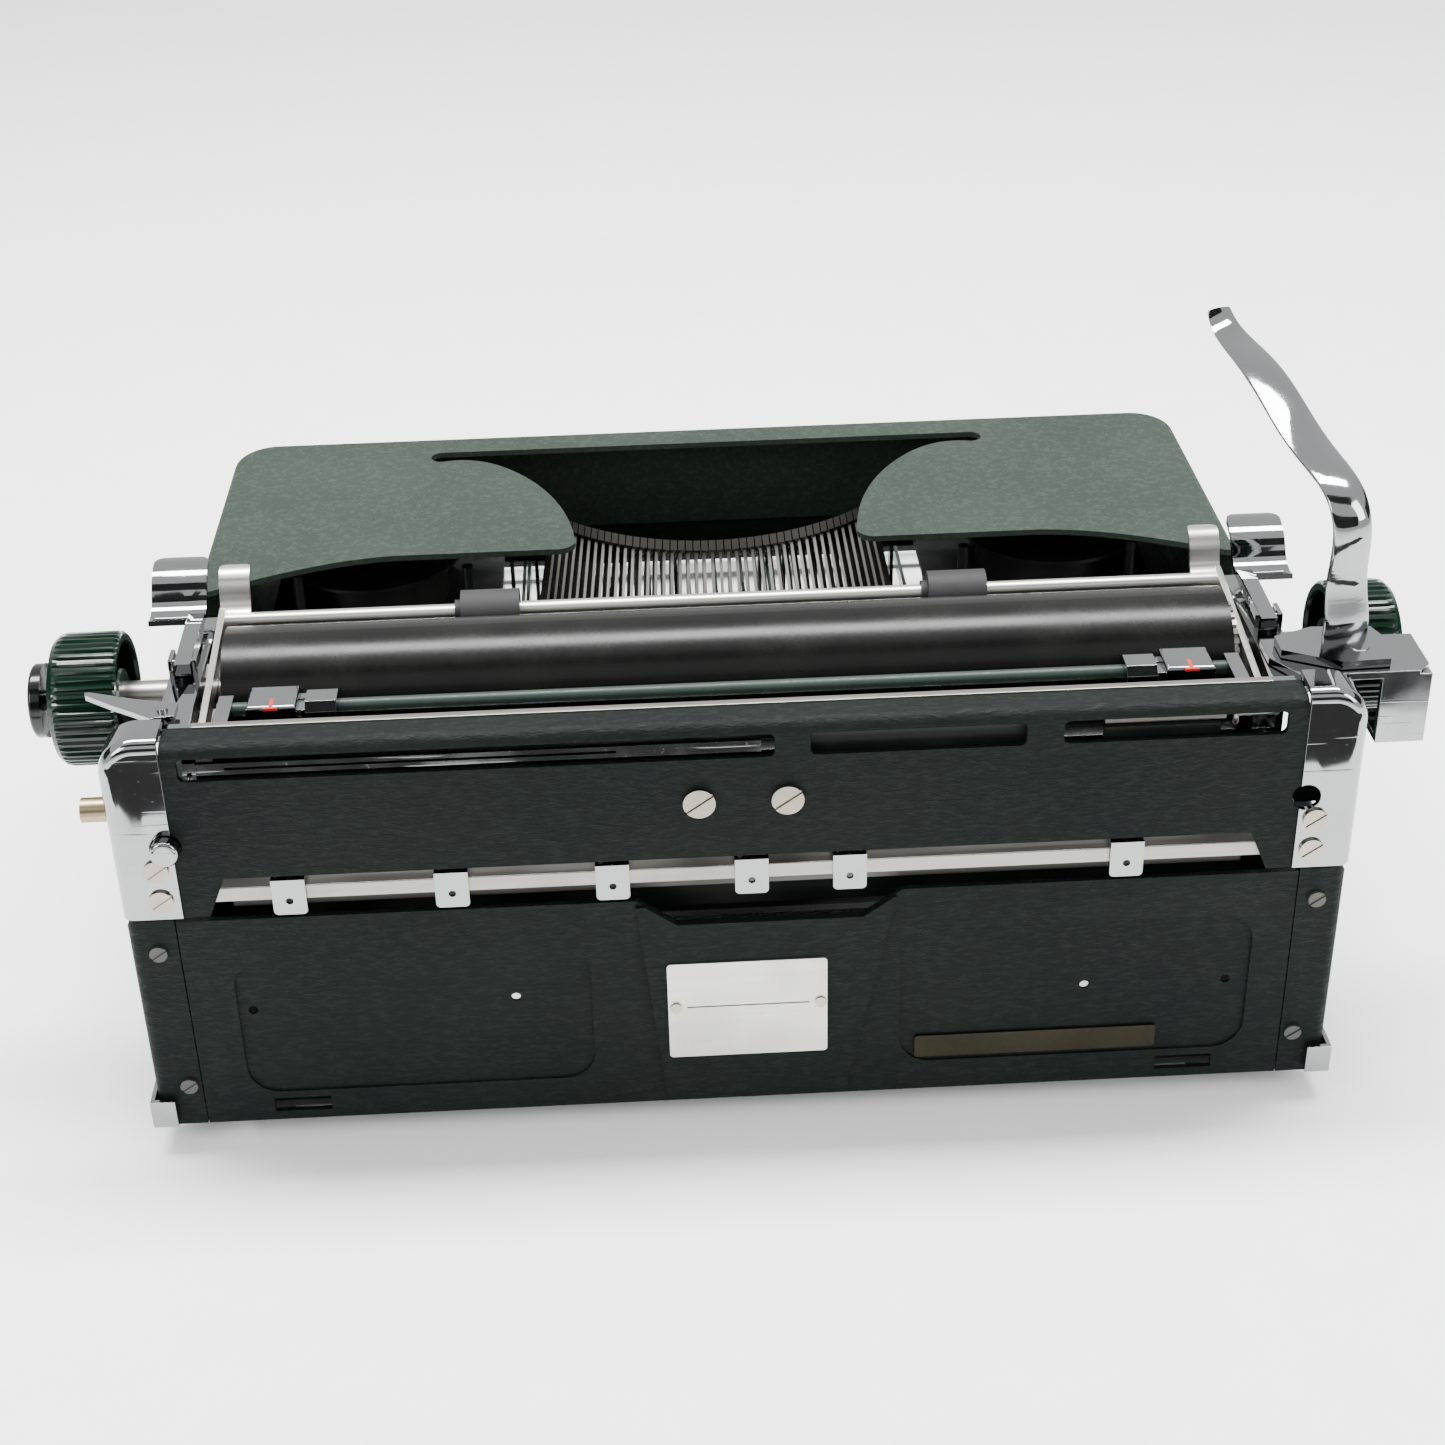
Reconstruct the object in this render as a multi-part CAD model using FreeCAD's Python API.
import FreeCAD, Part
import math
import os

# Portable manual typewriter. Millimetres, +Z up, +X to the typist's right,
# +Y to the rear. The model is laid out from the middle of the rear panel at
# table level and moved once, at the end, to the middle of its own footprint.

V = FreeCAD.Vector
os.makedirs("parts", exist_ok=True)

# ---- driving dimensions: body -------------------------------------------
body_width = 300.0
body_depth = 318.0
table_gap = 6.6            # table to the lower edge of the shells
rear_height = 69.5         # top edge of the rear panel
rear_shell_top = 70.0      # top edge of the side shells beside the carriage
deck_height = 78.0         # top edge of the side shells beside the type basket
front_height = 36.0        # top of the front wall
sheet = 1.5                # body sheet metal
wrap_width = 12.0          # side shells folded on to the rear face
seam_gap = 0.3             # between neighbouring shells
chassis_half = 128.0       # chassis side plates, outside face
chassis_plate = 2.5
floor_z = 10.0             # top of the chassis floor
foot_radius = 9.0
foot_x = 124.5
foot_ys = (-16.0, -300.0)

# ---- driving dimensions: ribbon cover -----------------------------------
cover_height = 115.0
cover_half = 139.5
cover_front_y = -181.0     # front edge of the top
cover_foot_y = -194.0      # lower front edge
cover_rear_y = -86.0       # rear outer corners
cover_sheet = 1.6
basket_half = 40.0         # half width of the opening between the wings
wing_rear_y = -102.9       # rear edge of the wings beside the opening
cover_edge = 3.4           # rounding round the top
knuckle_radius = 1.1       # hinge knuckles along the lower front edge
knuckle_x = 100.0
knuckle_length = 10.0

# ---- driving dimensions: carriage ---------------------------------------
panel_half = 134.7
end_half = 149.7
end_depth = 11.0
carriage_bottom = 72.4
panel_top = 120.0
end_top = 122.0
panel_face_y = 2.5
carriage_travel = 115.0
shift_lift = 6.5
platen_y = -45.0
platen_z = 107.5
platen_radius = 16.5
platen_half = 124.9
shaft_radius = 4.0
running_fit = 0.05
knob_radius = 16.8
knob_width = 17.5
knob_start = 150.5
button_radius = 9.4
button_width = 5.5
button_press = 2.5
side_plate_x = 130.2       # carriage side frames, inner face
side_plate = 2.0
body_gap = 0.3             # between separate moving bodies

# ---- driving dimensions: paper bail -------------------------------------
bail_y = -65.0
bail_z = 117.2
bail_rod_radius = 2.0
bail_roller_radius = 5.4
bail_roller_length = 15.0
bail_roller_x = 60.0
bail_pivot_y = -22.0
bail_pivot_z = 110.5
bail_arm_x = 128.4
bail_wire = 1.0

# ---- driving dimensions: rear of the carriage ---------------------------
rail_y = -23.6
rail_z = 114.8
rail_radius = 1.7
rail_half = 124.8
tab_bar_depth = 7.0
tab_bar_z = 74.8
tab_bar_height = 4.0
tab_bar_half = 132.0
tab_stop_places = [109.3, 70.1, 31.2, -2.6, -26.5, -94.3]
tab_stop_width = 8.2
slot_bottom = 110.8
slot_top = 116.9
slots = [(-8.5, 131.0), (-68.0, -16.9), (-130.0, -76.8)]
screw_radius = 3.9
cover_screw_places = [(9.7, 99.0), (-11.4, 99.0)]
end_screw_places = [(139.5, 86.5), (139.5, 77.8), (-139.1, 86.5), (-139.1, 77.8)]
lock_x = 136.4
lock_z = 92.8
lock_radius = 3.5
lock_press = 3.0
support_pivot_x = 128.0
support_length = 131.0
support_tilt = 45.0

# ---- driving dimensions: type basket and keyboard -----------------------
bar_count = 43
bar_pitch = 2.15           # degrees between neighbouring type bars
bar_length = 82.0
bar_rest = 12.3            # degrees between a resting bar and the basket axis
bar_swing = 60.2
basket_tilt = 36.87        # basket axis above the horizontal
segment_radius = 81.1
pivot_back = 20.2          # pivots behind the printing point, along the axis
bar_thick = 0.9
bar_hole = 0.6             # radius of the pivot hole in a type bar
head_thick = 1.9
key_pitch = 18.5
row_pitch = 19.0
row_rise = 7.0
key_radius = 7.3
key_thick = 4.0
first_row_y = -229.0
first_row_z = 72.0
fulcrum_y = -112.0
fulcrum_z = 23.0
fulcrum_radius = 1.5
lever_thick = 1.2
lever_height = 5.0
spool_x = 98.0
spool_y = -140.0
spool_z = 84.0
spool_radius = 26.0
spool_height = 15.0

PARTS = {}


def keep(name, *shapes):
    """File the finished solids of one piece under its name."""
    solids = []
    for shape in shapes:
        solids += shape.Solids
    PARTS[name] = Part.makeCompound(solids) if len(solids) > 1 else solids[0]


def box(x0, x1, y0, y1, z0, z1):
    low = V(min(x0, x1), min(y0, y1), min(z0, z1))
    return Part.makeBox(abs(x1 - x0), abs(y1 - y0), abs(z1 - z0), low)


def rod(radius, start, end):
    start, end = V(*start), V(*end)
    return Part.makeCylinder(radius, (end - start).Length, start, end - start)


def tube(outer, inner, start, end):
    return rod(outer, start, end).cut(rod(inner, start, end))


def face_of(points):
    corners = [V(*p) for p in points]
    return Part.Face(Part.makePolygon(corners + [corners[0]]))


def side_prism(points, x0, x1):
    """A (y, z) outline drawn through from x0 to x1."""
    return face_of([(x0, y, z) for y, z in points]).extrude(V(x1 - x0, 0, 0))


def rear_prism(points, y0, y1):
    """An (x, z) outline drawn through from y0 to y1."""
    return face_of([(x, y0, z) for x, z in points]).extrude(V(0, y1 - y0, 0))


def top_prism(points, z0, z1):
    """An (x, y) outline drawn through from z0 to z1."""
    return face_of([(x, y, z0) for x, y in points]).extrude(V(0, 0, z1 - z0))


def bent_plate(points, thick, x0, x1, corner):
    """A plate bent along a smooth (y, z) line, with rounded corners at its free end."""
    line = Part.BSplineCurve()
    line.interpolate([V(x0, y, z) for y, z in points])
    first, last = line.FirstParameter, line.LastParameter
    places = [first + (last - first) * i / 12 for i in range(13)]
    sides = []
    for offset in (-thick / 2, thick / 2):
        row = []
        for place in places:
            heading = line.tangent(place)[0]
            row.append(line.value(place) + V(0, -heading.z, heading.y) * offset)
        side = Part.BSplineCurve()
        side.interpolate(row)
        sides.append(side)
    ends = [[side.value(side.FirstParameter), side.value(side.LastParameter)] for side in sides]
    wire = Part.Wire([sides[0].toShape(), Part.makeLine(ends[0][1], ends[1][1]), sides[1].toShape(),
                      Part.makeLine(ends[1][0], ends[0][0])])
    plate = Part.Face(wire).extrude(V(x1 - x0, 0, 0))
    size = plate.BoundBox
    limit = box(x0, x1, size.YMin, size.YMax + 2 * corner, size.ZMin - 1, size.ZMax + 1)
    limit = round_edges(limit, corner, lambda a, b: abs(a.z - b.z) > 1 and same(a.y, size.YMin))
    return plate.common(limit)


def join(first, *others):
    whole = first.multiFuse(list(others)) if others else first
    return whole.removeSplitter()


def mirrored(shape):
    return shape.mirror(V(0, 0, 0), V(1, 0, 0))


def round_edges(shape, radius, test):
    """Fillet the straight edges that pass the test on their two ends."""
    picked = []
    for edge in shape.Edges:
        if edge.Curve.TypeId != "Part::GeomLine":
            continue
        if test(edge.Vertexes[0].Point, edge.Vertexes[1].Point):
            picked.append(edge)
    return shape.makeFillet(radius, picked)


def same(a, b):
    return abs(a - b) < 1e-4


def along(axis, *others):
    """A test for edges parallel to one axis, with optional place tests."""
    rest = [i for i in range(3) if i != axis]

    def test(a, b):
        if not all(same(a[i], b[i]) for i in rest):
            return False
        return all(check(a) for check in others)
    return test


def round_slot(x0, x1, z0, z1, y0, y1, radius):
    """A rounded rectangle through the thickness of a rear-facing sheet."""
    return round_edges(box(x0, x1, y0, y1, z0, z1), radius, along(1))


def slotted_screw(x, y, z, radius, head, shank):
    """A cheese-head screw seen from the rear, its head outside y."""
    slot = box(x - radius, x + radius, y + 0.6 * head, y + head + 1, z - 0.4, z + 0.4)
    slot.rotate(V(x, y, z), V(0, 1, 0), 35)
    head_solid = rod(radius, (x, y, z), (x, y + head, z)).cut(slot)
    return join(head_solid, rod(0.42 * radius, (x, y - shank, z), (x, y, z)))


# ---- body shells ---------------------------------------------------------
def shell_outline(inset):
    """Side view of the body, moved in from every edge by inset."""
    i = inset
    front = -body_depth
    return [(-i, table_gap + i), (-i, rear_shell_top - i), (-78.0 - i, rear_shell_top - i),
            (-86.0 - i, deck_height - i), (cover_foot_y + i, deck_height - i),
            (front + i, front_height - 0.4 * i), (front + i, table_gap + i)]


def side_shell():
    inner_x = body_width / 2 - wrap_width
    outer = side_prism(shell_outline(0), inner_x, body_width / 2)
    outer = round_edges(outer, 3.0, lambda a, b: same(a.x, b.x) and same(a.x, body_width / 2))
    return outer.cut(side_prism(shell_outline(sheet), inner_x - 1, body_width / 2 - sheet))


keep("side_shell_right", side_shell())
keep("side_shell_left", mirrored(side_shell()))

panel_edge = body_width / 2 - wrap_width - seam_gap
notch_z = 62.4
notch = [(27, rear_height + 1), (16, notch_z), (-30, notch_z), (-41, rear_height + 1)]
emboss_top, emboss_bottom = 57.0, 15.6
emboss_depth = 0.7
latch_slots = [(106.0, 120.4), (-120.6, -106.0)]
latch_z0, latch_z1 = 9.2, 13.4
pin_holes = [(122.4, 41.3), (56.9, 41.6), (-86.4, 37.0), (-122.4, 36.8)]
pin_radius = 1.2
panel = box(-panel_edge, panel_edge, -sheet, 0, table_gap, rear_height)
panel = join(panel, rear_prism([(26, 68), (20, 9), (-26, 9), (-38, 68)], -0.5, 1.0))
panel = panel.cut(rear_prism(notch, -5, 5))
for x0, x1 in ((38.0, 126.0), (-128.0, -39.5)):
    panel = panel.cut(round_slot(x0, x1, emboss_bottom, emboss_top, -emboss_depth, 1, 8.0))
for x0, x1 in latch_slots:
    panel = panel.cut(box(x0, x1, -5, 5, latch_z0, latch_z1))
for x, z in pin_holes:
    panel = panel.cut(rod(pin_radius, (x, -5, z), (x, 5, z)))
keep("rear_panel", panel)

deck_half = panel_edge
well_half = 126.0
well_rear = first_row_y + 13.0
nose = side_prism([p for p in shell_outline(0) if p[0] < cover_foot_y + 1]
                  + [(cover_foot_y, table_gap)], -deck_half, deck_half)
hollow = side_prism([(cover_foot_y - sheet, deck_height - 2), (-body_depth + sheet, front_height - 1.6),
                     (-body_depth + sheet, table_gap - 1), (cover_foot_y - sheet, table_gap - 1)],
                    -deck_half - 1, deck_half + 1)
well = box(-well_half, well_half, well_rear, -body_depth + 5.0, 0, 100)
well = round_edges(well, 6.0, along(2))
rear_way = box(-deck_half - 1, deck_half + 1, cover_foot_y - 3, cover_foot_y + 3, 0, deck_height - 12)
keep("front_shell", nose.cut(hollow).cut(well).cut(rear_way))

feet = []
for x in (-foot_x, foot_x):
    for y in foot_ys:
        pad = Part.makeCone(foot_radius - 1.5, foot_radius, floor_z - 2.5, V(x, y, 0))
        feet.append(pad)
keep("rubber_feet", *feet)

clips = []
for s in (1, -1):
    arm = box(s * (body_width / 2 + 0.2), s * (body_width / 2 + 1.4), -9, 2.2, 7.5, 15.5)
    face = box(s * (body_width / 2 - 5), s * (body_width / 2 + 1.4), 0.8, 2.2, 7.5, 15.5)
    peg = rod(1.2, (s * (body_width / 2 - 3), -sheet - 1, 11.5), (s * (body_width / 2 - 3), 1.5, 11.5))
    clips.append(join(arm, face, peg))
clip_pegs = [rod(1.3, (s * (body_width / 2 - 3), -3, 11.5), (s * (body_width / 2 - 3), 1, 11.5))
                   for s in (1, -1)]
keep("corner_clips", *clips)
for name, peg in (("side_shell_right", clip_pegs[0]), ("side_shell_left", clip_pegs[1])):
    keep(name, PARTS[name].cut(peg))

half_body = body_width / 2
shell_screw_places = [(half_body - 7.0, 60.5), (half_body - 8.9, 19.1), (7.0 - half_body, 61.0),
                      (8.9 - half_body, 19.5)]
shell_screw_radius = 2.2
keep("shell_screws", *[slotted_screw(x, 0, z, shell_screw_radius, 0.8, 3.0) for x, z in shell_screw_places])
for x, z in shell_screw_places:
    name = "side_shell_right" if x > 0 else "side_shell_left"
    keep(name, PARTS[name].cut(rod(0.42 * shell_screw_radius + 0.05, (x, -3, z), (x, 1, z))))

label = (-21.0, 19.0, 21.8, 50.8)
keep("label_plate", round_edges(box(label[0], label[1], 1.0, 1.5, label[2], label[3]), 1.0, along(1)))
rivets = [(17.0, 37.4), (-19.3, 37.4)]
for x, z in rivets:
    keep("label_plate", PARTS["label_plate"].cut(rod(0.95, (x, 0, z), (x, 3, z))))
    keep("rear_panel", PARTS["rear_panel"].cut(rod(0.95, (x, -3, z), (x, 3, z))))
keep("label_rivets", *[join(rod(0.9, (x, -2, z), (x, 1.5, z)), rod(1.5, (x, 1.5, z), (x, 2.0, z)))
                       for x, z in rivets])
keep("strip_plate", round_edges(box(-105.4, -43.5, -emboss_depth, 0.1, 17.0, 23.7), 0.8, along(1)))

# ---- chassis -------------------------------------------------------------
rails_top = 70.3
rail_places = [(-14.0, -10.0), (-38.0, -34.0)]
plate_top = 61.7
chassis = box(-chassis_half, chassis_half, -body_depth + 8, -4, floor_z - 2.5, floor_z - 0.5)
chassis = chassis.cut(box(-120.5, 120.5, -306, -150, 0, 20)).cut(box(-100, 100, -80, -30, 0, 20))
for s in (1, -1):
    plate = side_prism([(-4, floor_z - 2.5), (-4, plate_top), (-100, plate_top), (-190, 60),
                        (-body_depth + 20, 26), (-body_depth + 8, 20), (-body_depth + 8, floor_z - 2.5)],
                       s * (chassis_half - chassis_plate), s * chassis_half)
    chassis = join(chassis, plate)
shaft = rod(fulcrum_radius, (-chassis_half, fulcrum_y, fulcrum_z), (chassis_half, fulcrum_y, fulcrum_z))
segment_bar = join(box(-chassis_half, chassis_half, -72.0, -68.0, 30.0, 38.0), box(-30, 30, -88.0, -68.0,
                                                                                   30.0, 38.0))
spool_decks = [box(s * 62, s * chassis_half, spool_y - 30, spool_y + 30, spool_z - 4.0, spool_z - 2.0)
               for s in (1, -1)]
deck_legs = [box(s * (chassis_half - chassis_plate), s * chassis_half, spool_y - 30, spool_y + 30, 58,
                 spool_z - 2)
             for s in (1, -1)]
spindles = [rod(2.5, (s * spool_x, spool_y, spool_z - 3), (s * spool_x, spool_y, spool_z + spool_height + 3))
            for s in (1, -1)]
guide_posts = [rod(1.5, (s * x, y, spool_z - 3), (s * x, y, 106.0))
               for s in (1, -1) for x, y in ((69.0, -113.0), (116.0, -112.0))]
chassis = join(chassis, shaft, segment_bar, *(spool_decks + deck_legs + spindles + guide_posts))
for x in (-foot_x, foot_x):
    for y in foot_ys:
        chassis = join(chassis, rod(3.0, (x, y, floor_z - 2.5), (x, y, floor_z + 1.5)))
rails = [box(-panel_edge + 2, panel_edge - 2, y0, y1, plate_top - 1.0, rails_top) for y0, y1 in rail_places]
keep("base_frame", join(chassis, *rails))

# ---- type basket ---------------------------------------------------------
tilt = math.radians(basket_tilt)
print_point = V(0, platen_y - platen_radius, platen_z)
axis_dir = V(0, -math.cos(tilt), math.sin(tilt))
down_dir = V(0, -math.sin(tilt), -math.cos(tilt))


def basket(forward, out, x=0.0):
    """Point on the middle plane: along the basket axis and out from it."""
    return print_point + axis_dir * forward + down_dir * out + V(x, 0, 0)


def basket_block(f0, f1, o0, o1, width):
    corners = [basket(f0, o0, -width / 2), basket(f1, o0, -width / 2),
               basket(f1, o1, -width / 2), basket(f0, o1, -width / 2)]
    return Part.Face(Part.makePolygon(corners + [corners[0]])).extrude(V(width, 0, 0))


def type_bar():
    rest = math.radians(bar_rest)
    start = basket(-pivot_back, segment_radius)
    run = axis_dir * math.cos(rest) - down_dir * math.sin(rest)
    side = axis_dir * math.sin(rest) + down_dir * math.cos(rest)
    points = [start + side * 1.8 - run * 2.0, start - side * 1.8 - run * 2.0,
              start - side * 1.4 + run * (bar_length - 2), start + side * 1.4 + run * (bar_length - 2)]
    points = [p - V(bar_thick / 2, 0, 0) for p in points]
    blade = Part.Face(Part.makePolygon(points + [points[0]])).extrude(V(bar_thick, 0, 0))
    blade = blade.cut(rod(bar_hole, (-2, start.y, start.z), (2, start.y, start.z)))
    head = [start + side * 4.0 + run * (bar_length - 3), start - side * 4.0 + run * (bar_length - 3),
            start - side * 4.0 + run * bar_length, start + side * 4.0 + run * bar_length]
    head = [p - V(head_thick / 2, 0, 0) for p in head]
    slug = Part.Face(Part.makePolygon(head + [head[0]])).extrude(V(head_thick, 0, 0))
    return join(blade, slug)


def turned(shape, angle):
    copy = shape.copy()
    copy.rotate(print_point, axis_dir, angle)
    return copy


half_count = bar_count // 2
angles = [bar_pitch * i for i in range(-half_count, half_count + 1)]
keep("center_type_bar", type_bar())
keep("type_bars", *[turned(type_bar(), a) for a in angles if a != 0])

seg_low, seg_high = -pivot_back - 4.0, -pivot_back + 4.0
ring = Part.makeCylinder(segment_radius + 6.0, seg_high - seg_low, basket(seg_low, 0), axis_dir)
ring = ring.cut(Part.makeCylinder(segment_radius - 4.5, seg_high - seg_low + 2, basket(seg_low - 1, 0),
                                  axis_dir))
sector_half = math.radians(half_count * bar_pitch + 3.0)
far = 120.0
wedge_points = [basket(seg_low - 1, 0), basket(seg_low - 1, far * math.cos(sector_half),
                                               far * math.sin(sector_half)),
                basket(seg_low - 1, far * 1.1), basket(seg_low - 1, far * math.cos(sector_half),
                                                       -far * math.sin(sector_half))]
wedge = Part.Face(Part.makePolygon(wedge_points + [wedge_points[0]]))
wedge = wedge.extrude(axis_dir * (seg_high - seg_low + 2))
segment = ring.common(wedge)
slot_cut = basket_block(seg_low - 1, seg_high + 1, segment_radius - 6, segment_radius + 3.2, bar_thick + 0.5)
segment = segment.cut(Part.makeCompound([turned(slot_cut, a) for a in angles]))
keep("type_segment", segment)
seat_room = Part.makeCylinder(segment_radius + 6.0, 60.0, basket(seg_low, 0), axis_dir)
keep("base_frame", PARTS["base_frame"].cut(seat_room.common(box(-70, 70, -100, -66, 20, 60))))

# ---- ribbon spools and type guide ----------------------------------------
for side, s in (("right", 1), ("left", -1)):
    low, high = spool_z, spool_z + spool_height
    core = tube(8.0, 2.5 + 0.1, (s * spool_x, spool_y, low), (s * spool_x, spool_y, high))
    flanges = [tube(spool_radius, 2.5 + 0.1, (s * spool_x, spool_y, z), (s * spool_x, spool_y, z + 1.0))
               for z in (low, high - 1.0)]
    wound = tube(spool_radius - 5.0, 7.0, (s * spool_x, spool_y, low + 0.5), (s * spool_x, spool_y,
                                                                              high - 0.5))
    keep("ribbon_spool_" + side, join(core, wound, *flanges))

guide_y = platen_y - platen_radius - 3.2
guide_plate = box(-14, 14, guide_y - 0.8, guide_y, 84.0, platen_z - 3.0)
guide_gap = box(-2.4, 2.4, guide_y - 2, guide_y + 2, 80.0, 200)
guide_leg = box(-14, 14, -80.0, guide_y - 0.8, 84.0, 84.8)
guide_foot = box(-14, 14, -80.0, -79.2, 40.0, 84.8)
keep("type_guide", join(guide_plate, guide_leg, guide_foot).cut(guide_gap).cut(
    box(-6, 6, -82, -60, 50, 100)))

# ---- ribbon cover --------------------------------------------------------
cover_foot_z = deck_height + 0.4
cover_corner = 12.0


def cover_solid(inset):
    """The hood as a closed block, moved in from outside by inset."""
    half = cover_half - inset
    top = cover_height - inset
    slope = (cover_front_y - cover_foot_y) / (cover_height - cover_foot_z)
    front_low = cover_foot_y + inset
    front_high = front_low + slope * (top - cover_foot_z)
    rear = cover_rear_y if inset == 0 else cover_rear_y + 5
    side_view = [(front_low, cover_foot_z), (front_high, top), (rear, top), (rear, cover_foot_z)]
    block = side_prism(side_view, -half, half)
    radius = max(cover_corner - inset, 2.0)
    block = round_edges(block, radius, lambda a, b: same(abs(a.x), half) and same(a.x, b.x)
                        and abs(a.z - b.z) > 10 and max(a.y, b.y) < rear - 5)
    if inset == 0:
        block = block.makeFillet(cover_edge, [e for e in block.Edges if all(same(v.Z,
                                                                                 top) for v in e.Vertexes)
                                              and min(v.Y for v in e.Vertexes) < rear - 1])
    return block


hood = cover_solid(0).cut(cover_solid(cover_sheet).fuse(
    box(-cover_half + cover_sheet, cover_half - cover_sheet, cover_rear_y - 20, cover_rear_y + 9,
        cover_foot_z - 1, cover_height - cover_sheet)))
hood = hood.cut(box(-200, 200, -300, 0, cover_foot_z - 10, cover_foot_z))


def arc(start, middle, end):
    return Part.Arc(start, middle, end).toShape()


def wing_edges(s):
    """One half of the opening's outline, from the front strip to the rear of the cover."""
    z = cover_height - 12.0

    def at(x, y):
        return V(s * x, y, z)
    tip, rear = basket_half, wing_rear_y
    swell = Part.BSplineCurve()
    swell.interpolate([at(78.0, -163.4), at(66.0, -162.4), at(55.5, -153.5), at(46.5, -139.0), at(tip,
                                                                                                  -118.0),
                       at(tip - 1.2, -109.0)])
    sweep = Part.BSplineCurve()
    sweep.interpolate([at(88.0, rear), at(111.0, rear + 5.2), at(129.5, rear + 13.6), at(cover_half + 6,
                                                                                         rear + 22.0)])
    return [Part.makeLine(at(0, -169.8), at(78.0, -169.8)), arc(at(78.0, -169.8), at(81.2, -166.6),
                                                                at(78.0, -163.4)),
            swell.toShape(), arc(at(tip - 1.2, -109.0), at(tip, rear - 1.4), at(tip + 4.5, rear)),
            Part.makeLine(at(tip + 4.5, rear), at(88.0, rear)), sweep.toShape(),
            Part.makeLine(at(cover_half + 6, rear + 22.0), at(cover_half + 6, -60.0)),
            Part.makeLine(at(cover_half + 6, -60.0), at(0, -60.0))]


def wing_opening():
    """Type basket opening: a slot along the front strip that widens between two curved wings."""
    edges = wing_edges(1) + wing_edges(-1)
    wire = Part.Wire(Part.__sortEdges__(edges))
    return Part.Face(wire).extrude(V(0, 0, 40.0))


hood = hood.cut(wing_opening())
for s in (1, -1):
    inner, outer = s * knuckle_x, s * (knuckle_x + knuckle_length)
    hood = hood.fuse(rod(knuckle_radius, (inner, cover_foot_y, cover_foot_z), (outer, cover_foot_y,
                                                                               cover_foot_z)))
    seat = rod(knuckle_radius + body_gap, (inner - s * body_gap, cover_foot_y, cover_foot_z),
               (outer + s * body_gap, cover_foot_y, cover_foot_z))
    keep("front_shell", PARTS["front_shell"].cut(seat))
keep("ribbon_cover", hood)

# ---- keyboard ------------------------------------------------------------
rows = {"numbers": (0, -111.0, 12), "upper": (1, -101.75, 11), "home": (2, -97.1, 11), "lower": (3, -87.9,
                                                                                                 10)}
center_column = 5
hole_fit = 0.1


def row_place(row):
    return first_row_y - row_pitch * row, first_row_z - row_rise * row


def key(x, row, width=0.0, top_x=None):
    """One key: cap, stem and the lever back to the common fulcrum."""
    y, z = row_place(row)
    cap_x = x if top_x is None else top_x
    half = lever_thick / 2
    if width:
        cap = round_edges(box(cap_x - width / 2, cap_x + width / 2, y - key_radius, y + key_radius,
                              z - key_thick, z), 3.0, along(2))
    else:
        cap = rod(key_radius, (cap_x, y, z - key_thick), (cap_x, y, z))
        dish = Part.makeSphere(30.0, V(cap_x, y, z + 29.1))
        cap = cap.cut(dish)
    low = fulcrum_z - lever_height / 2
    lever = box(x - half, x + half, y - 2.5, fulcrum_y + 4.0, low, low + lever_height)
    lever = lever.cut(rod(fulcrum_radius + hole_fit, (x - 2, fulcrum_y, fulcrum_z), (x + 2, fulcrum_y,
                                                                                     fulcrum_z)))
    stem = box(x - half, x + half, y - 2.5, y + 2.5, low, z - key_thick + 0.5)
    return join(lever, stem, cap)


def key_row(name, skip=None):
    row, first, count = rows[name]
    return [key(first + key_pitch * i, row) for i in range(count) if i != skip]


shift_x = 118.6
lock_key_x = -115.6
keep("keys_back_rows", *(key_row("numbers") + key_row("upper")))
keep("keys_front_rows", *(key_row("home", center_column) + key_row("lower")))
keep("center_key", key(rows["home"][1] + key_pitch * center_column, 2))
keep("shift_lock_key", key(lock_key_x, 2, 14.0, lock_key_x))
keep("backspace_key", key(111.0, 0, 15.0, 111.5))
keep("tab_key", key(106.0, 1, 22.0, 108.0))

shift_pivot_z = 17.5
shift_y, shift_z = row_place(3)
shift_rod = 1.8
shift_parts = [rod(shift_rod, (-shift_x - 3, fulcrum_y - 5, shift_pivot_z),
                   (shift_x + 3, fulcrum_y - 5, shift_pivot_z))]
for s, cap_inner, cap_outer in ((-1, 99.0, 122.0), (1, 91.0, 122.0)):
    shift_parts.append(box(s * (shift_x - 0.6), s * (shift_x + 0.6), shift_y - 3, fulcrum_y - 3,
                           shift_pivot_z - shift_rod, shift_pivot_z + shift_rod))
    shift_parts.append(box(s * (shift_x - 0.6), s * (shift_x + 0.6), shift_y - 3, shift_y + 3,
                           shift_pivot_z, shift_z - 3.5))
    shift_parts.append(round_edges(box(s * cap_inner, s * cap_outer, shift_y - key_radius,
                                       shift_y + key_radius,
                                       shift_z - key_thick, shift_z), 3.0, along(2)))
keep("shift_keys", join(*shift_parts))

bar_y = first_row_y - row_pitch * 4
bar_z = first_row_z - row_rise * 4 + 1.0
space_arm_x = 62.4
space = round_edges(box(-66, 66, bar_y - 6.0, bar_y + 6.0, bar_z - 7.0, bar_z), 3.0, along(0))
space_arms = []
for s in (1, -1):
    space_arms.append(box(s * (space_arm_x - 0.6), s * (space_arm_x + 0.6), bar_y - 0.5, fulcrum_y - 14.0,
                          15.5, 19.0))
    space_arms.append(box(s * (space_arm_x - 0.6), s * (space_arm_x + 0.6), bar_y - 0.5, bar_y + 4.0,
                          15.5, bar_z - 6.0))
space_shaft = rod(1.6, (-space_arm_x - 4, fulcrum_y - 15, 17.0), (space_arm_x + 4, fulcrum_y - 15, 17.0))
keep("space_bar", join(space, space_shaft, *space_arms))

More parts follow.
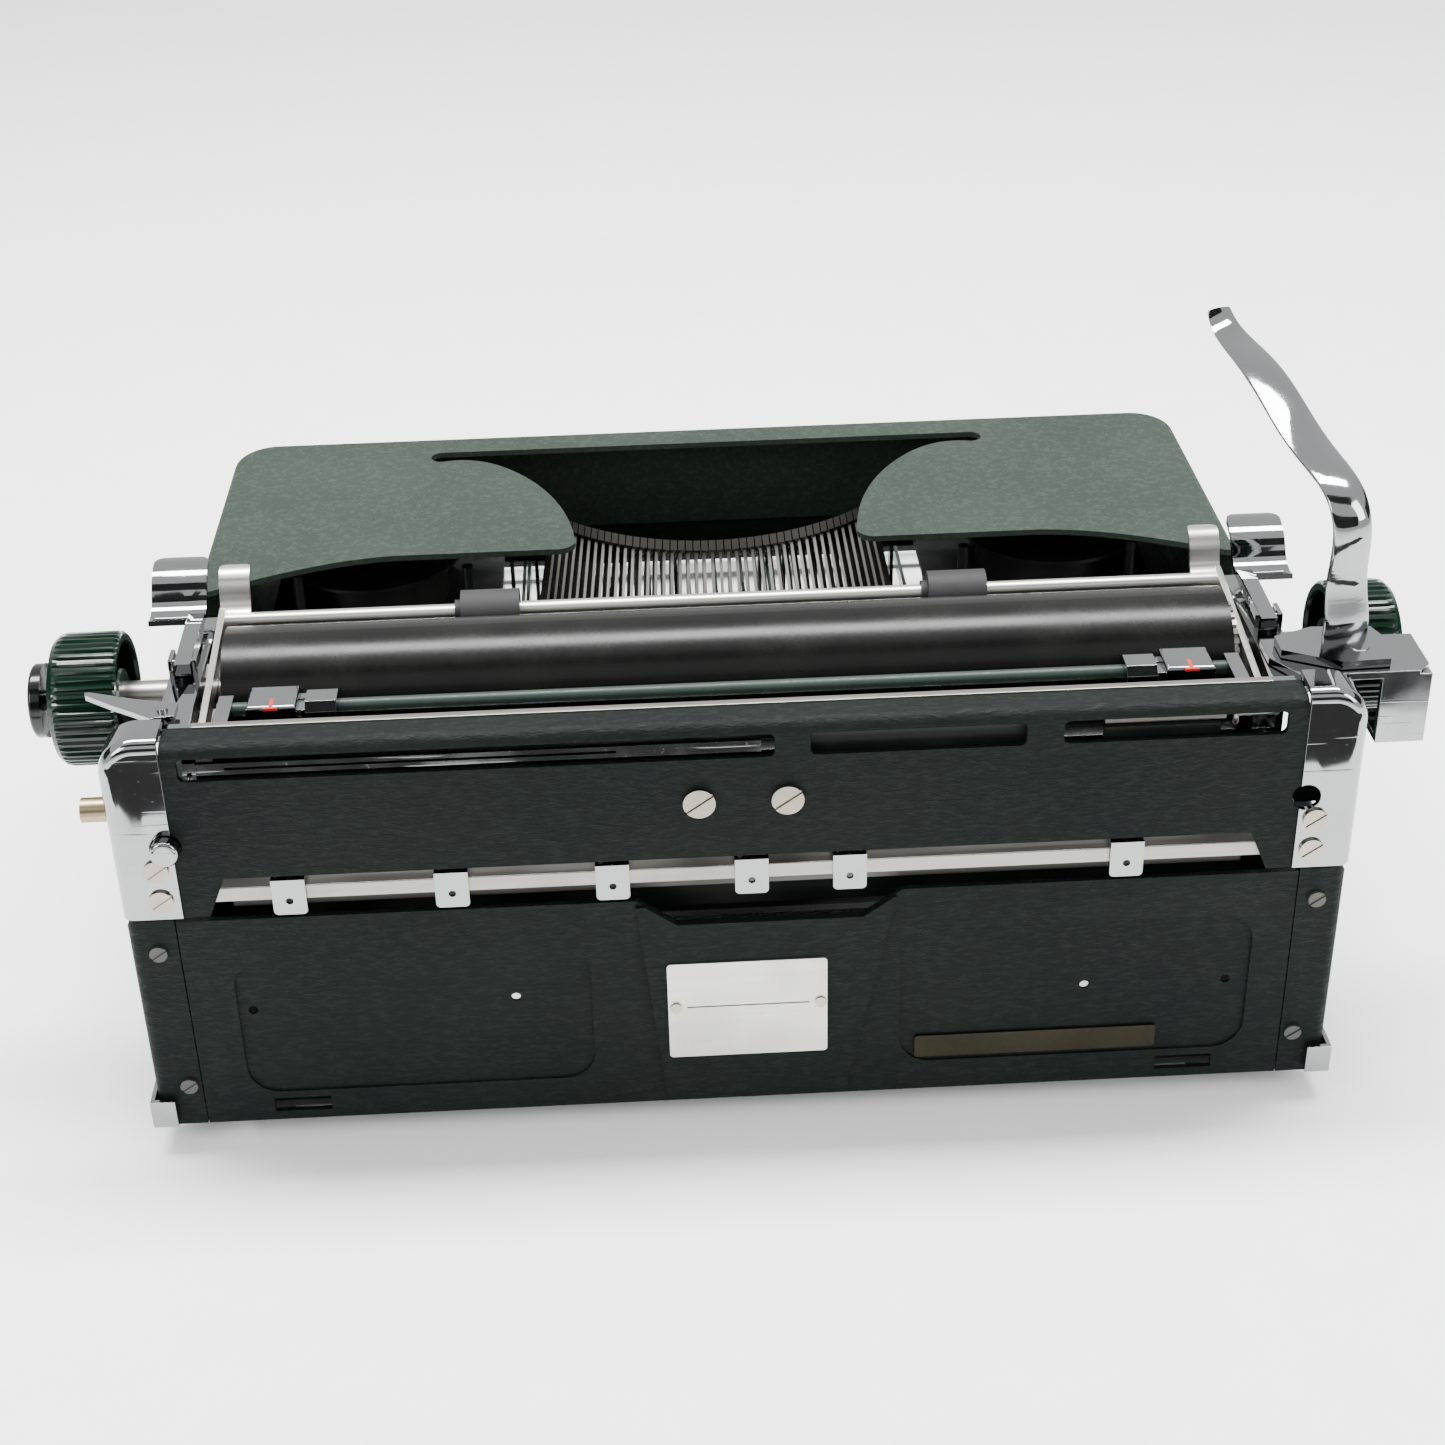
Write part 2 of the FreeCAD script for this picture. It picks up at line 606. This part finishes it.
drum_x, drum_y = 96.0, -54.0
drum_z0, drum_z1 = 42.0, 56.0
drum = join(tube(24.0, 3.0 + 0.1, (drum_x, drum_y, drum_z0), (drum_x, drum_y, drum_z1)),
            tube(25.5, 20.0, (drum_x, drum_y, drum_z0), (drum_x, drum_y, drum_z0 + 1.2)),
            tube(25.5, 20.0, (drum_x, drum_y, drum_z1 - 1.2), (drum_x, drum_y, drum_z1)))
keep("mainspring_drum", drum)
drum_bridge = join(box(drum_x - 12, chassis_half, drum_y - 12, drum_y + 12, drum_z0 - 3.0, drum_z0 - 0.8),
                   rod(3.0, (drum_x, drum_y, drum_z0 - 2), (drum_x, drum_y, drum_z1 + 1.5)))
keep("base_frame", join(PARTS["base_frame"], drum_bridge))

# ---- carriage truck and tab bar ------------------------------------------
truck_half = 124.0
truck_z0 = rails_top + body_gap
truck_front, truck_rear = -42.0, -4.0
truck = box(-truck_half, truck_half, truck_front, truck_rear, truck_z0, tab_bar_z)
truck = truck.cut(box(-truck_half + 12, truck_half - 12, -33.0, -16.0, truck_z0 - 1, tab_bar_z + 1))
keep("carriage_truck", truck)

tab_bar_slant = 4.0
tab_outline = [(-tab_bar_half, tab_bar_z), (-tab_bar_half + tab_bar_slant, tab_bar_z + tab_bar_height),
               (tab_bar_half - tab_bar_slant, tab_bar_z + tab_bar_height), (tab_bar_half, tab_bar_z)]
keep("tab_bar", rear_prism(tab_outline, -tab_bar_depth, 0.0))

stop_wall = 0.9
stop_play = 0.3
stop_drop = 10.0
for number, place in enumerate(tab_stop_places, 1):
    x0, x1 = place - tab_stop_width / 2, place + tab_stop_width / 2
    top_z = tab_bar_z + tab_bar_height + stop_play
    plate = box(x0, x1, stop_play, stop_play + stop_wall, top_z + 2.0 - stop_drop, top_z + 2.0)
    plate = round_edges(plate, 1.2, along(1, lambda p: p.z < tab_bar_z))
    plate = plate.cut(rod(0.9, (place, -1, tab_bar_z + 0.2), (place, 3, tab_bar_z + 0.2)))
    cheeks = [box(x, x + stop_wall, -tab_bar_depth + 1.0, stop_play + 0.5, top_z, top_z + 2.0)
              for x in (x0, x1 - stop_wall)]
    tooth = rear_prism([(place - 0.5, top_z), (place + 0.5, top_z), (place, top_z + 2.2)],
                       -tab_bar_depth + 2.0, stop_play + 0.4)
    saddle = box(x0, x1, -tab_bar_depth + 1.0, stop_play + 0.5, top_z, top_z + 0.6)
    keep("tab_stop_%d" % number, join(plate, saddle, tooth, *cheeks))

# ---- carriage, the part that the shift keys lift --------------------------
cover_lip_y = -7.0
mid_bottom = tab_bar_z + tab_bar_height + 4.4
cover_outline = [(-panel_half, carriage_bottom), (-128.5, carriage_bottom), (-124.0, mid_bottom),
                 (124.0, mid_bottom), (128.5, carriage_bottom), (panel_half, carriage_bottom),
                 (panel_half, panel_top), (-panel_half, panel_top)]
skin = rear_prism(cover_outline, panel_face_y - sheet, panel_face_y)
lip = box(-panel_half, panel_half, cover_lip_y, panel_face_y, panel_top - sheet, panel_top)
rear_cover = join(skin, lip)
rear_cover = round_edges(rear_cover, 3.0, along(0, lambda p: same(p.y, panel_face_y) and same(p.z,
                                                                                              panel_top)))
for x0, x1 in slots:
    rear_cover = rear_cover.cut(round_slot(x0, x1, slot_bottom, slot_top, -2.0, 5.0, 1.5))
screw_shank = 0.42 * screw_radius
for x, z in cover_screw_places:
    rear_cover = rear_cover.cut(rod(screw_shank + 0.05, (x, -3, z), (x, 5, z)))
lock_hole = rod(lock_radius + 0.3, (lock_x, -20, lock_z), (lock_x, 8, lock_z))
blank_hole = rod(lock_radius, (-lock_x, -20, lock_z), (-lock_x, 8, lock_z))
keep("rear_cover", rear_cover.cut(lock_hole).cut(blank_hole))

end_corner = 9.5
end_screw_radius = 3.0
end_edge = 3.2
end_face_y = panel_face_y + 0.3
for side, s in (("right", 1), ("left", -1)):
    inner, outer = panel_half + 0.2, end_half
    block = box(s * inner, s * outer, end_face_y - end_depth, end_face_y, carriage_bottom, end_top)
    block = round_edges(block, end_corner, along(1, lambda p: same(abs(p.x), outer) and same(p.z, end_top)))
    block = round_edges(block, end_edge, lambda a, b: same(a.y, end_face_y) and same(b.y, end_face_y)
                        and abs(a.x) > inner + 0.1 and abs(b.x) > inner + 0.1)
    room = box(s * (inner - 1), s * (outer - sheet), end_face_y - end_depth - 1, end_face_y - sheet,
               carriage_bottom - 1, end_top - sheet)
    room = round_edges(room, end_corner - sheet, along(1, lambda p: same(abs(p.x), outer - sheet)
                                                       and same(p.z, end_top - sheet)))
    plate = block.cut(room).cut(lock_hole if s > 0 else blank_hole)
    for x, z in end_screw_places:
        if x * s > 0:
            plate = plate.cut(rod(0.42 * end_screw_radius + 0.05, (x, -9, z), (x, 9, z)))
    keep("end_plate_" + side, plate)

screws = [slotted_screw(x, panel_face_y, z, screw_radius, 1.1, 4.0) for x, z in cover_screw_places]
screws += [slotted_screw(x, end_face_y, z, end_screw_radius, 0.8, 4.0) for x, z in end_screw_places]
keep("carriage_screws", *screws)

side_z0, side_z1 = 80.0, 115.0
flange = 8.0
frame_front = -68.0
pieces = []
for s in (1, -1):
    x0, x1 = s * side_plate_x, s * (side_plate_x + side_plate)
    outline = [(frame_front, 100.0), (frame_front, side_z1), (-9.2, side_z1), (-9.2, side_z0), (-40.0,
                                                                                                side_z0)]
    wall = side_prism(outline, x0, x1)
    top = box(x0, s * (side_plate_x + flange), frame_front, -9.2, side_z1, side_z1 + 1.8)
    pieces += [wall, top]
cross = box(-side_plate_x, side_plate_x, -16.0, -12.0, 82.0, 104.0)
under = box(-side_plate_x, side_plate_x, -44.0, -16.0, 82.0, 83.5)
strip = box(-panel_half + 1, panel_half - 1, cover_lip_y - 2.3, cover_lip_y - 0.2, 113.0, panel_top - 0.2)
strip_ties = [box(s * 121.0, s * (rail_half - 0.3), rail_y - 3.0, cover_lip_y - 1.0, 100.0, rail_z + 2.2)
              for s in (1, -1)]
end_ties = [box(s * (side_plate_x + 1), s * (end_half - 4.0), -9.3, -8.9, 84.0, 96.0) for s in (1, -1)]
backs = [box(x - 5, x + 5, -12.5, panel_face_y - sheet - 0.0, 96.0, 102.0) for x, z in cover_screw_places]
frame_shape = join(pieces[0], *(pieces[1:] + [cross, under, strip] + strip_ties + end_ties + backs))
shaft_bore = rod(shaft_radius + running_fit, (-200, platen_y, platen_z), (200, platen_y, platen_z))
frame_shape = frame_shape.cut(shaft_bore)
for x, z in cover_screw_places:
    frame_shape = frame_shape.cut(rod(screw_shank + 0.05, (x, -30, z), (x, 5, z)))
pan = tube(platen_radius + 3.4, platen_radius + 2.4, (-120, platen_y, platen_z), (120, platen_y, platen_z))
pan = pan.common(box(-130, 130, platen_y - 12, platen_y + 40, 60, platen_z - 10))
keep("paper_pan", pan)
keep("margin_rail", rod(rail_radius, (-rail_half, rail_y, rail_z), (rail_half, rail_y, rail_z)))
bail_pins = [rod(1.6, (s * (bail_arm_x - bail_wire), bail_pivot_y, bail_pivot_z),
                 (s * (side_plate_x + 0.5), bail_pivot_y, bail_pivot_z)) for s in (1, -1)]
frame_shape = join(frame_shape, *bail_pins)
rail_bore = rod(rail_radius, (-side_plate_x, rail_y, rail_z), (side_plate_x, rail_y, rail_z))
keep("carriage_frame", frame_shape.cut(rail_bore))

# ---- platen, shaft and knobs ----------------------------------------------
core_radius = platen_radius - 3.5


def on_platen(radius, x0, x1):
    return rod(radius, (x0, platen_y, platen_z), (x1, platen_y, platen_z))


keep("platen", on_platen(platen_radius, -platen_half, platen_half).cut(on_platen(core_radius, -200, 200)))
teeth = 32
ratchet_x0, ratchet_x1 = -platen_half - 2.2, -platen_half
ratchet = on_platen(12.6, ratchet_x0, ratchet_x1)
notch_cut = box(ratchet_x0 - 1, ratchet_x1 + 1, platen_y - 0.5, platen_y + 0.5,
                platen_z + 11.4, platen_z + 14.0)
notches = []
for i in range(teeth):
    cut = notch_cut.copy()
    cut.rotate(V(0, platen_y, platen_z), V(1, 0, 0), 360.0 / teeth * i)
    notches.append(cut)
ratchet = ratchet.cut(Part.makeCompound(notches))
knob_end = knob_start + knob_width
core = on_platen(core_radius, -platen_half, platen_half)
shaft = on_platen(shaft_radius, -knob_end + 3, knob_end - 3)
keep("platen_shaft", join(core, shaft, ratchet))


def knob(s):
    """Knob, hollow on the inner side, with a hub on the shaft."""
    body = on_platen(knob_radius, s * knob_start, s * knob_end)
    body = body.makeFillet(2.0, [e for e in body.Edges if e.Curve.TypeId == "Part::GeomCircle"
                                              and same(e.Curve.Center.x, s * knob_end)])
    hollow_part = on_platen(knob_radius - 3.0, s * (knob_start - 1), s * (knob_end - 4.0))
    hub = on_platen(7.0, s * (knob_start + 1), s * (knob_end - 3.0))
    shell = body.cut(hollow_part).fuse(hub)
    return shell.cut(on_platen(shaft_radius, s * (knob_start - 2), s * (knob_end - 3.0)))


right_knob = knob(1)
stem_hole = on_platen(3.0, knob_end - 3.5, knob_end + 1)
keep("knob_right", right_knob.cut(stem_hole))
keep("knob_left", knob(-1))
PARTS["platen_shaft"] = PARTS["platen_shaft"].cut(on_platen(2.7, knob_end - 12, knob_end))
button_start = knob_end + button_press + body_gap
disc = on_platen(button_radius, button_start, button_start + button_width - button_press)
disc = disc.makeFillet(1.0, [e for e in disc.Edges if e.Curve.TypeId == "Part::GeomCircle"
                             and e.Curve.Center.x > button_start + 1])
keep("platen_button", join(disc, on_platen(2.6, knob_end - 9.0, button_start)))

# ---- paper bail -------------------------------------------------------------
bail_parts = [rod(bail_rod_radius, (-bail_arm_x - 0.8, bail_y, bail_z), (bail_arm_x + 0.8, bail_y, bail_z))]
for s in (1, -1):
    arm = face_of([(s * (bail_arm_x - 0.8), bail_pivot_y + 3.4, bail_pivot_z - 2.4),
                   (s * (bail_arm_x - 0.8), bail_pivot_y + 3.4, bail_pivot_z + 2.4),
                   (s * (bail_arm_x - 0.8), bail_y - 1.2, bail_z + 3.2),
                   (s * (bail_arm_x - 0.8), bail_y - 3.2, bail_z + 0.2),
                   (s * (bail_arm_x - 0.8), bail_y + 1.6, bail_z - 2.4)]).extrude(V(s * 1.6, 0, 0))
    arm = arm.cut(rod(1.65, (s * 100, bail_pivot_y, bail_pivot_z), (s * 150, bail_pivot_y, bail_pivot_z)))
    tab = bent_plate([(bail_y - 0.6, bail_z + 1.5), (bail_y - 3.4, bail_z + 4.2), (bail_y - 4.6,
                                                                                   bail_z + 7.6),
                      (bail_y - 7.0, bail_z + 10.2), (bail_y - 10.6, bail_z + 10.2)],
                     1.0, s * (bail_arm_x - 7.0), s * (bail_arm_x + 0.8), 2.6)
    bail_parts += [arm, tab]
bail = join(*bail_parts)
keep("bail_frame", bail)
for side, s in (("right", 1), ("left", -1)):
    x0, x1 = s * bail_roller_x - bail_roller_length / 2, s * bail_roller_x + bail_roller_length / 2
    roller = tube(bail_roller_radius, bail_rod_radius + running_fit, (x0, bail_y, bail_z), (x1, bail_y,
                                                                                            bail_z))
    collar = tube(3.0, bail_rod_radius + running_fit, (x1, bail_y, bail_z), (x1 + 1.6, bail_y, bail_z))
    keep("bail_roller_" + side, join(roller, collar))

# ---- return lever ------------------------------------------------------------
lever_pivot = (-152.0, -19.0)
base_z0, base_z1 = 117.0, 119.0
base_plate = top_prism([(-130.4, -29.0), (-130.4, -20.0), (-136.0, -10.6), (-165.0, -10.6), (-168.0, -14.0),
                        (-168.0, -29.0)], base_z0, base_z1)
hook = [box(-168.0, -156.0, -12.6, -10.6, 99.0, base_z0 + 1), box(-168.0, -156.0, -24.0, -10.6, 99.0, 101.0),
        box(-168.0, -166.0, -24.0, -10.6, 99.0, base_z0 + 1)]
pivot_pin = rod(2.4, (lever_pivot[0], lever_pivot[1], base_z1 - 0.5), (lever_pivot[0], lever_pivot[1],
                                                                       base_z1 + 2.7))
keep("lever_base", join(base_plate, pivot_pin, *hook))
lever_z0 = base_z1 + body_gap
lever_foot = top_prism([(-133.0, -26.0), (-133.0, -19.0), (-146.0, -12.0), (-158.0, -12.5), (-160.5, -20.0),
                        (-157.5, -29.0), (-143.0, -30.0)], lever_z0, lever_z0 + 2.2)
lever_foot = lever_foot.cut(rod(2.45, (lever_pivot[0], lever_pivot[1], 100), (lever_pivot[0],
                                                                              lever_pivot[1], 140)))
stations = [((-150.5, -28.0, lever_z0 + 0.4), 13.0, 2.4), ((-150.3, -28.0, 130.0), 11.6, 2.5),
            ((-150.0, -28.0, 143.0), 10.6, 2.8), ((-149.6, -28.6, 150.5), 10.4, 3.0),
            ((-148.4, -32.0, 155.8), 10.6, 3.1), ((-145.4, -42.0, 160.0), 11.0, 3.0),
            ((-140.2, -60.0, 166.6), 11.2, 2.9), ((-135.0, -78.0, 173.3), 10.2, 2.5),
            ((-130.0, -94.0, 180.0), 6.6, 1.8)]
sections = []
for (cx, cy, cz), width, depth in stations:
    i = [s[0] for s in stations].index((cx, cy, cz))
    before, after = V(*stations[max(i - 1, 0)][0]), V(*stations[min(i + 1, len(stations) - 1)][0])
    heading = (after - before).normalize()
    across = V(1, 0.25, 0) - heading * heading.dot(V(1, 0.25, 0))
    across.normalize()
    normal = heading.cross(across)
    mid = V(cx, cy, cz)
    ring_edge = Part.Ellipse(mid + across * (width / 2), mid + normal * (depth / 2), mid).toShape()
    sections.append(Part.Wire([ring_edge]))
lever_arm = Part.makeLoft(sections, True, False)
keep("return_lever", join(lever_foot, lever_arm))

# ---- hand levers at the carriage ends -----------------------------------------
release_pivot_y, release_pivot_z = -40.0, 119.2
for side, s in (("right", 1), ("left", -1)):
    arm = side_prism([(-36.0, 118.3), (-36.0, 121.0), (-56.0, 121.6), (-62.6, 121.0), (-62.6, 119.4),
                      (-56.0, 117.8)], s * 132.4, s * 136.4)
    pad = bent_plate([(-59.5, 120.2), (-64.0, 119.8), (-67.5, 121.6), (-70.5, 125.2), (-75.0, 127.8),
                      (-80.5, 127.6)],
                     1.4, s * 132.4, s * 146.4, 4.6)
    lever = join(arm, pad)
    lever = lever.cut(rod(1.25, (s * 120, release_pivot_y, release_pivot_z), (s * 160, release_pivot_y,
                                                                              release_pivot_z)))
    keep("carriage_release_" + side, lever)
release_ears = []
for s in (1, -1):
    for x in (s * 131.0, s * 136.9):
        release_ears.append(box(x, x + s * 1.1, -43.0, -37.0, side_z1 + 1.0, 121.5))
    release_ears.append(rod(1.2, (s * 131.0, release_pivot_y, release_pivot_z), (s * 138.0,
            release_pivot_y, release_pivot_z)))
keep("carriage_frame", join(PARTS["carriage_frame"], *release_ears))

tongue_y, tongue_z = -16.0, 118.9
tongue = top_prism([(133.0, -19.0), (133.0, -13.2), (138.6, -12.4), (143.0, -15.6), (149.0, -19.6), (156.2,
                                                                                                     -25.0),
                    (156.6, -26.2), (155.4, -26.4), (147.6, -23.6), (141.6, -21.4)], 118.2, 119.8)
ear_x = 134.6
tongue = tongue.cut(rod(1.3, (ear_x + 1.6, -16.0, 110), (ear_x + 1.6, -16.0, 130)))
keep("paper_release_lever", tongue)
tongue_pin = rod(1.25, (ear_x + 1.6, -16.0, side_z1 + 1.0), (ear_x + 1.6, -16.0, 120.6))
keep("carriage_frame", join(PARTS["carriage_frame"], tongue_pin))

# ---- margin stops ---------------------------------------------------------------
stop_fit = 0.3
for side, s in (("right", 1), ("left", -1)):
    case = box(s * 105.0, s * 117.0, -28.0, -17.5, 111.0, 118.6)
    case = round_edges(case, 1.0, lambda a, b: min(a.z, b.z) > 118.0)
    grip = side_prism([(-28.0, 112.0), (-28.0, 117.0), (-25.0, 118.6), (-19.5, 118.6), (-17.5, 116.6),
                       (-17.5, 112.0)],
                      s * 95.5, s * 103.0)
    link = box(s * 102.5, s * 105.5, -27.0, -19.0, 112.5, 116.6)
    bore = rod(rail_radius + stop_fit, (-200, rail_y, rail_z), (200, rail_y, rail_z))
    keep("margin_stop_" + side, join(case, grip, link).cut(bore))

# ---- paper support, lock button and thumb screw ------------------------------------
support_z = (slot_bottom + slot_top) / 2
support_y = panel_face_y - sheet / 2
arm_start = support_pivot_x - 2.2
support = box(arm_start - support_length, support_pivot_x, support_y - 0.6, support_y + 0.6,
              support_z - 1.5, support_z + 1.5)
support = support.cut(box(arm_start - support_length + 34, support_pivot_x - 8, -5, 5, support_z - 0.35,
                          support_z + 0.35))
hook_end = box(support_pivot_x - 1.5, support_pivot_x + 1.5, support_y - 1.2, support_y + 1.2,
               support_z - 2.2, support_z + 2.2)
support_center = (support_pivot_x, support_y, support_z)
support_turn = V(0, math.sin(math.radians(support_tilt)), -math.cos(math.radians(support_tilt)))
eye = rod(0.7, tuple(V(*support_center) - support_turn * 5), tuple(V(*support_center) + support_turn * 5))
keep("paper_support", join(support, hook_end).cut(eye))
lock = rod(lock_radius, (lock_x, -2.6, lock_z), (lock_x, end_face_y + lock_press + 0.4, lock_z))
lock = lock.makeFillet(1.0, [e for e in lock.Edges if e.Curve.TypeId == "Part::GeomCircle"
                             and e.Curve.Center.y > end_face_y + 1])
keep("lock_button", lock)
thumb_y, thumb_z = -4.5, 100.0
thumb = join(rod(3.0, (end_half + 0.4, thumb_y, thumb_z), (end_half + 6.5, thumb_y, thumb_z)),
             rod(1.5, (end_half - 6, thumb_y, thumb_z), (end_half + 1, thumb_y, thumb_z)))
keep("thumb_screw", thumb)
keep("end_plate_right", PARTS["end_plate_right"].cut(
    rod(1.5 + running_fit, (end_half - 9, thumb_y, thumb_z), (end_half + 3, thumb_y, thumb_z))))

# ---- placing and writing --------------------------------------------------------------
whole = Part.makeCompound(list(PARTS.values()))
limits = whole.optimalBoundingBox(True, False)
SHIFT = V(-(limits.XMin + limits.XMax) / 2, -(limits.YMin + limits.YMax) / 2, -limits.ZMin)
print("pieces %d, size %.2f x %.2f x %.2f, moved by %.3f %.3f %.3f" % (
    len(PARTS), limits.XLength, limits.YLength, limits.ZLength, SHIFT.x, SHIFT.y, SHIFT.z))
for name, shape in PARTS.items():
    shape.translate(SHIFT)
    if not shape.isValid():
        print("not valid:", name)
    shape.exportStep("parts/%s.step" % name)
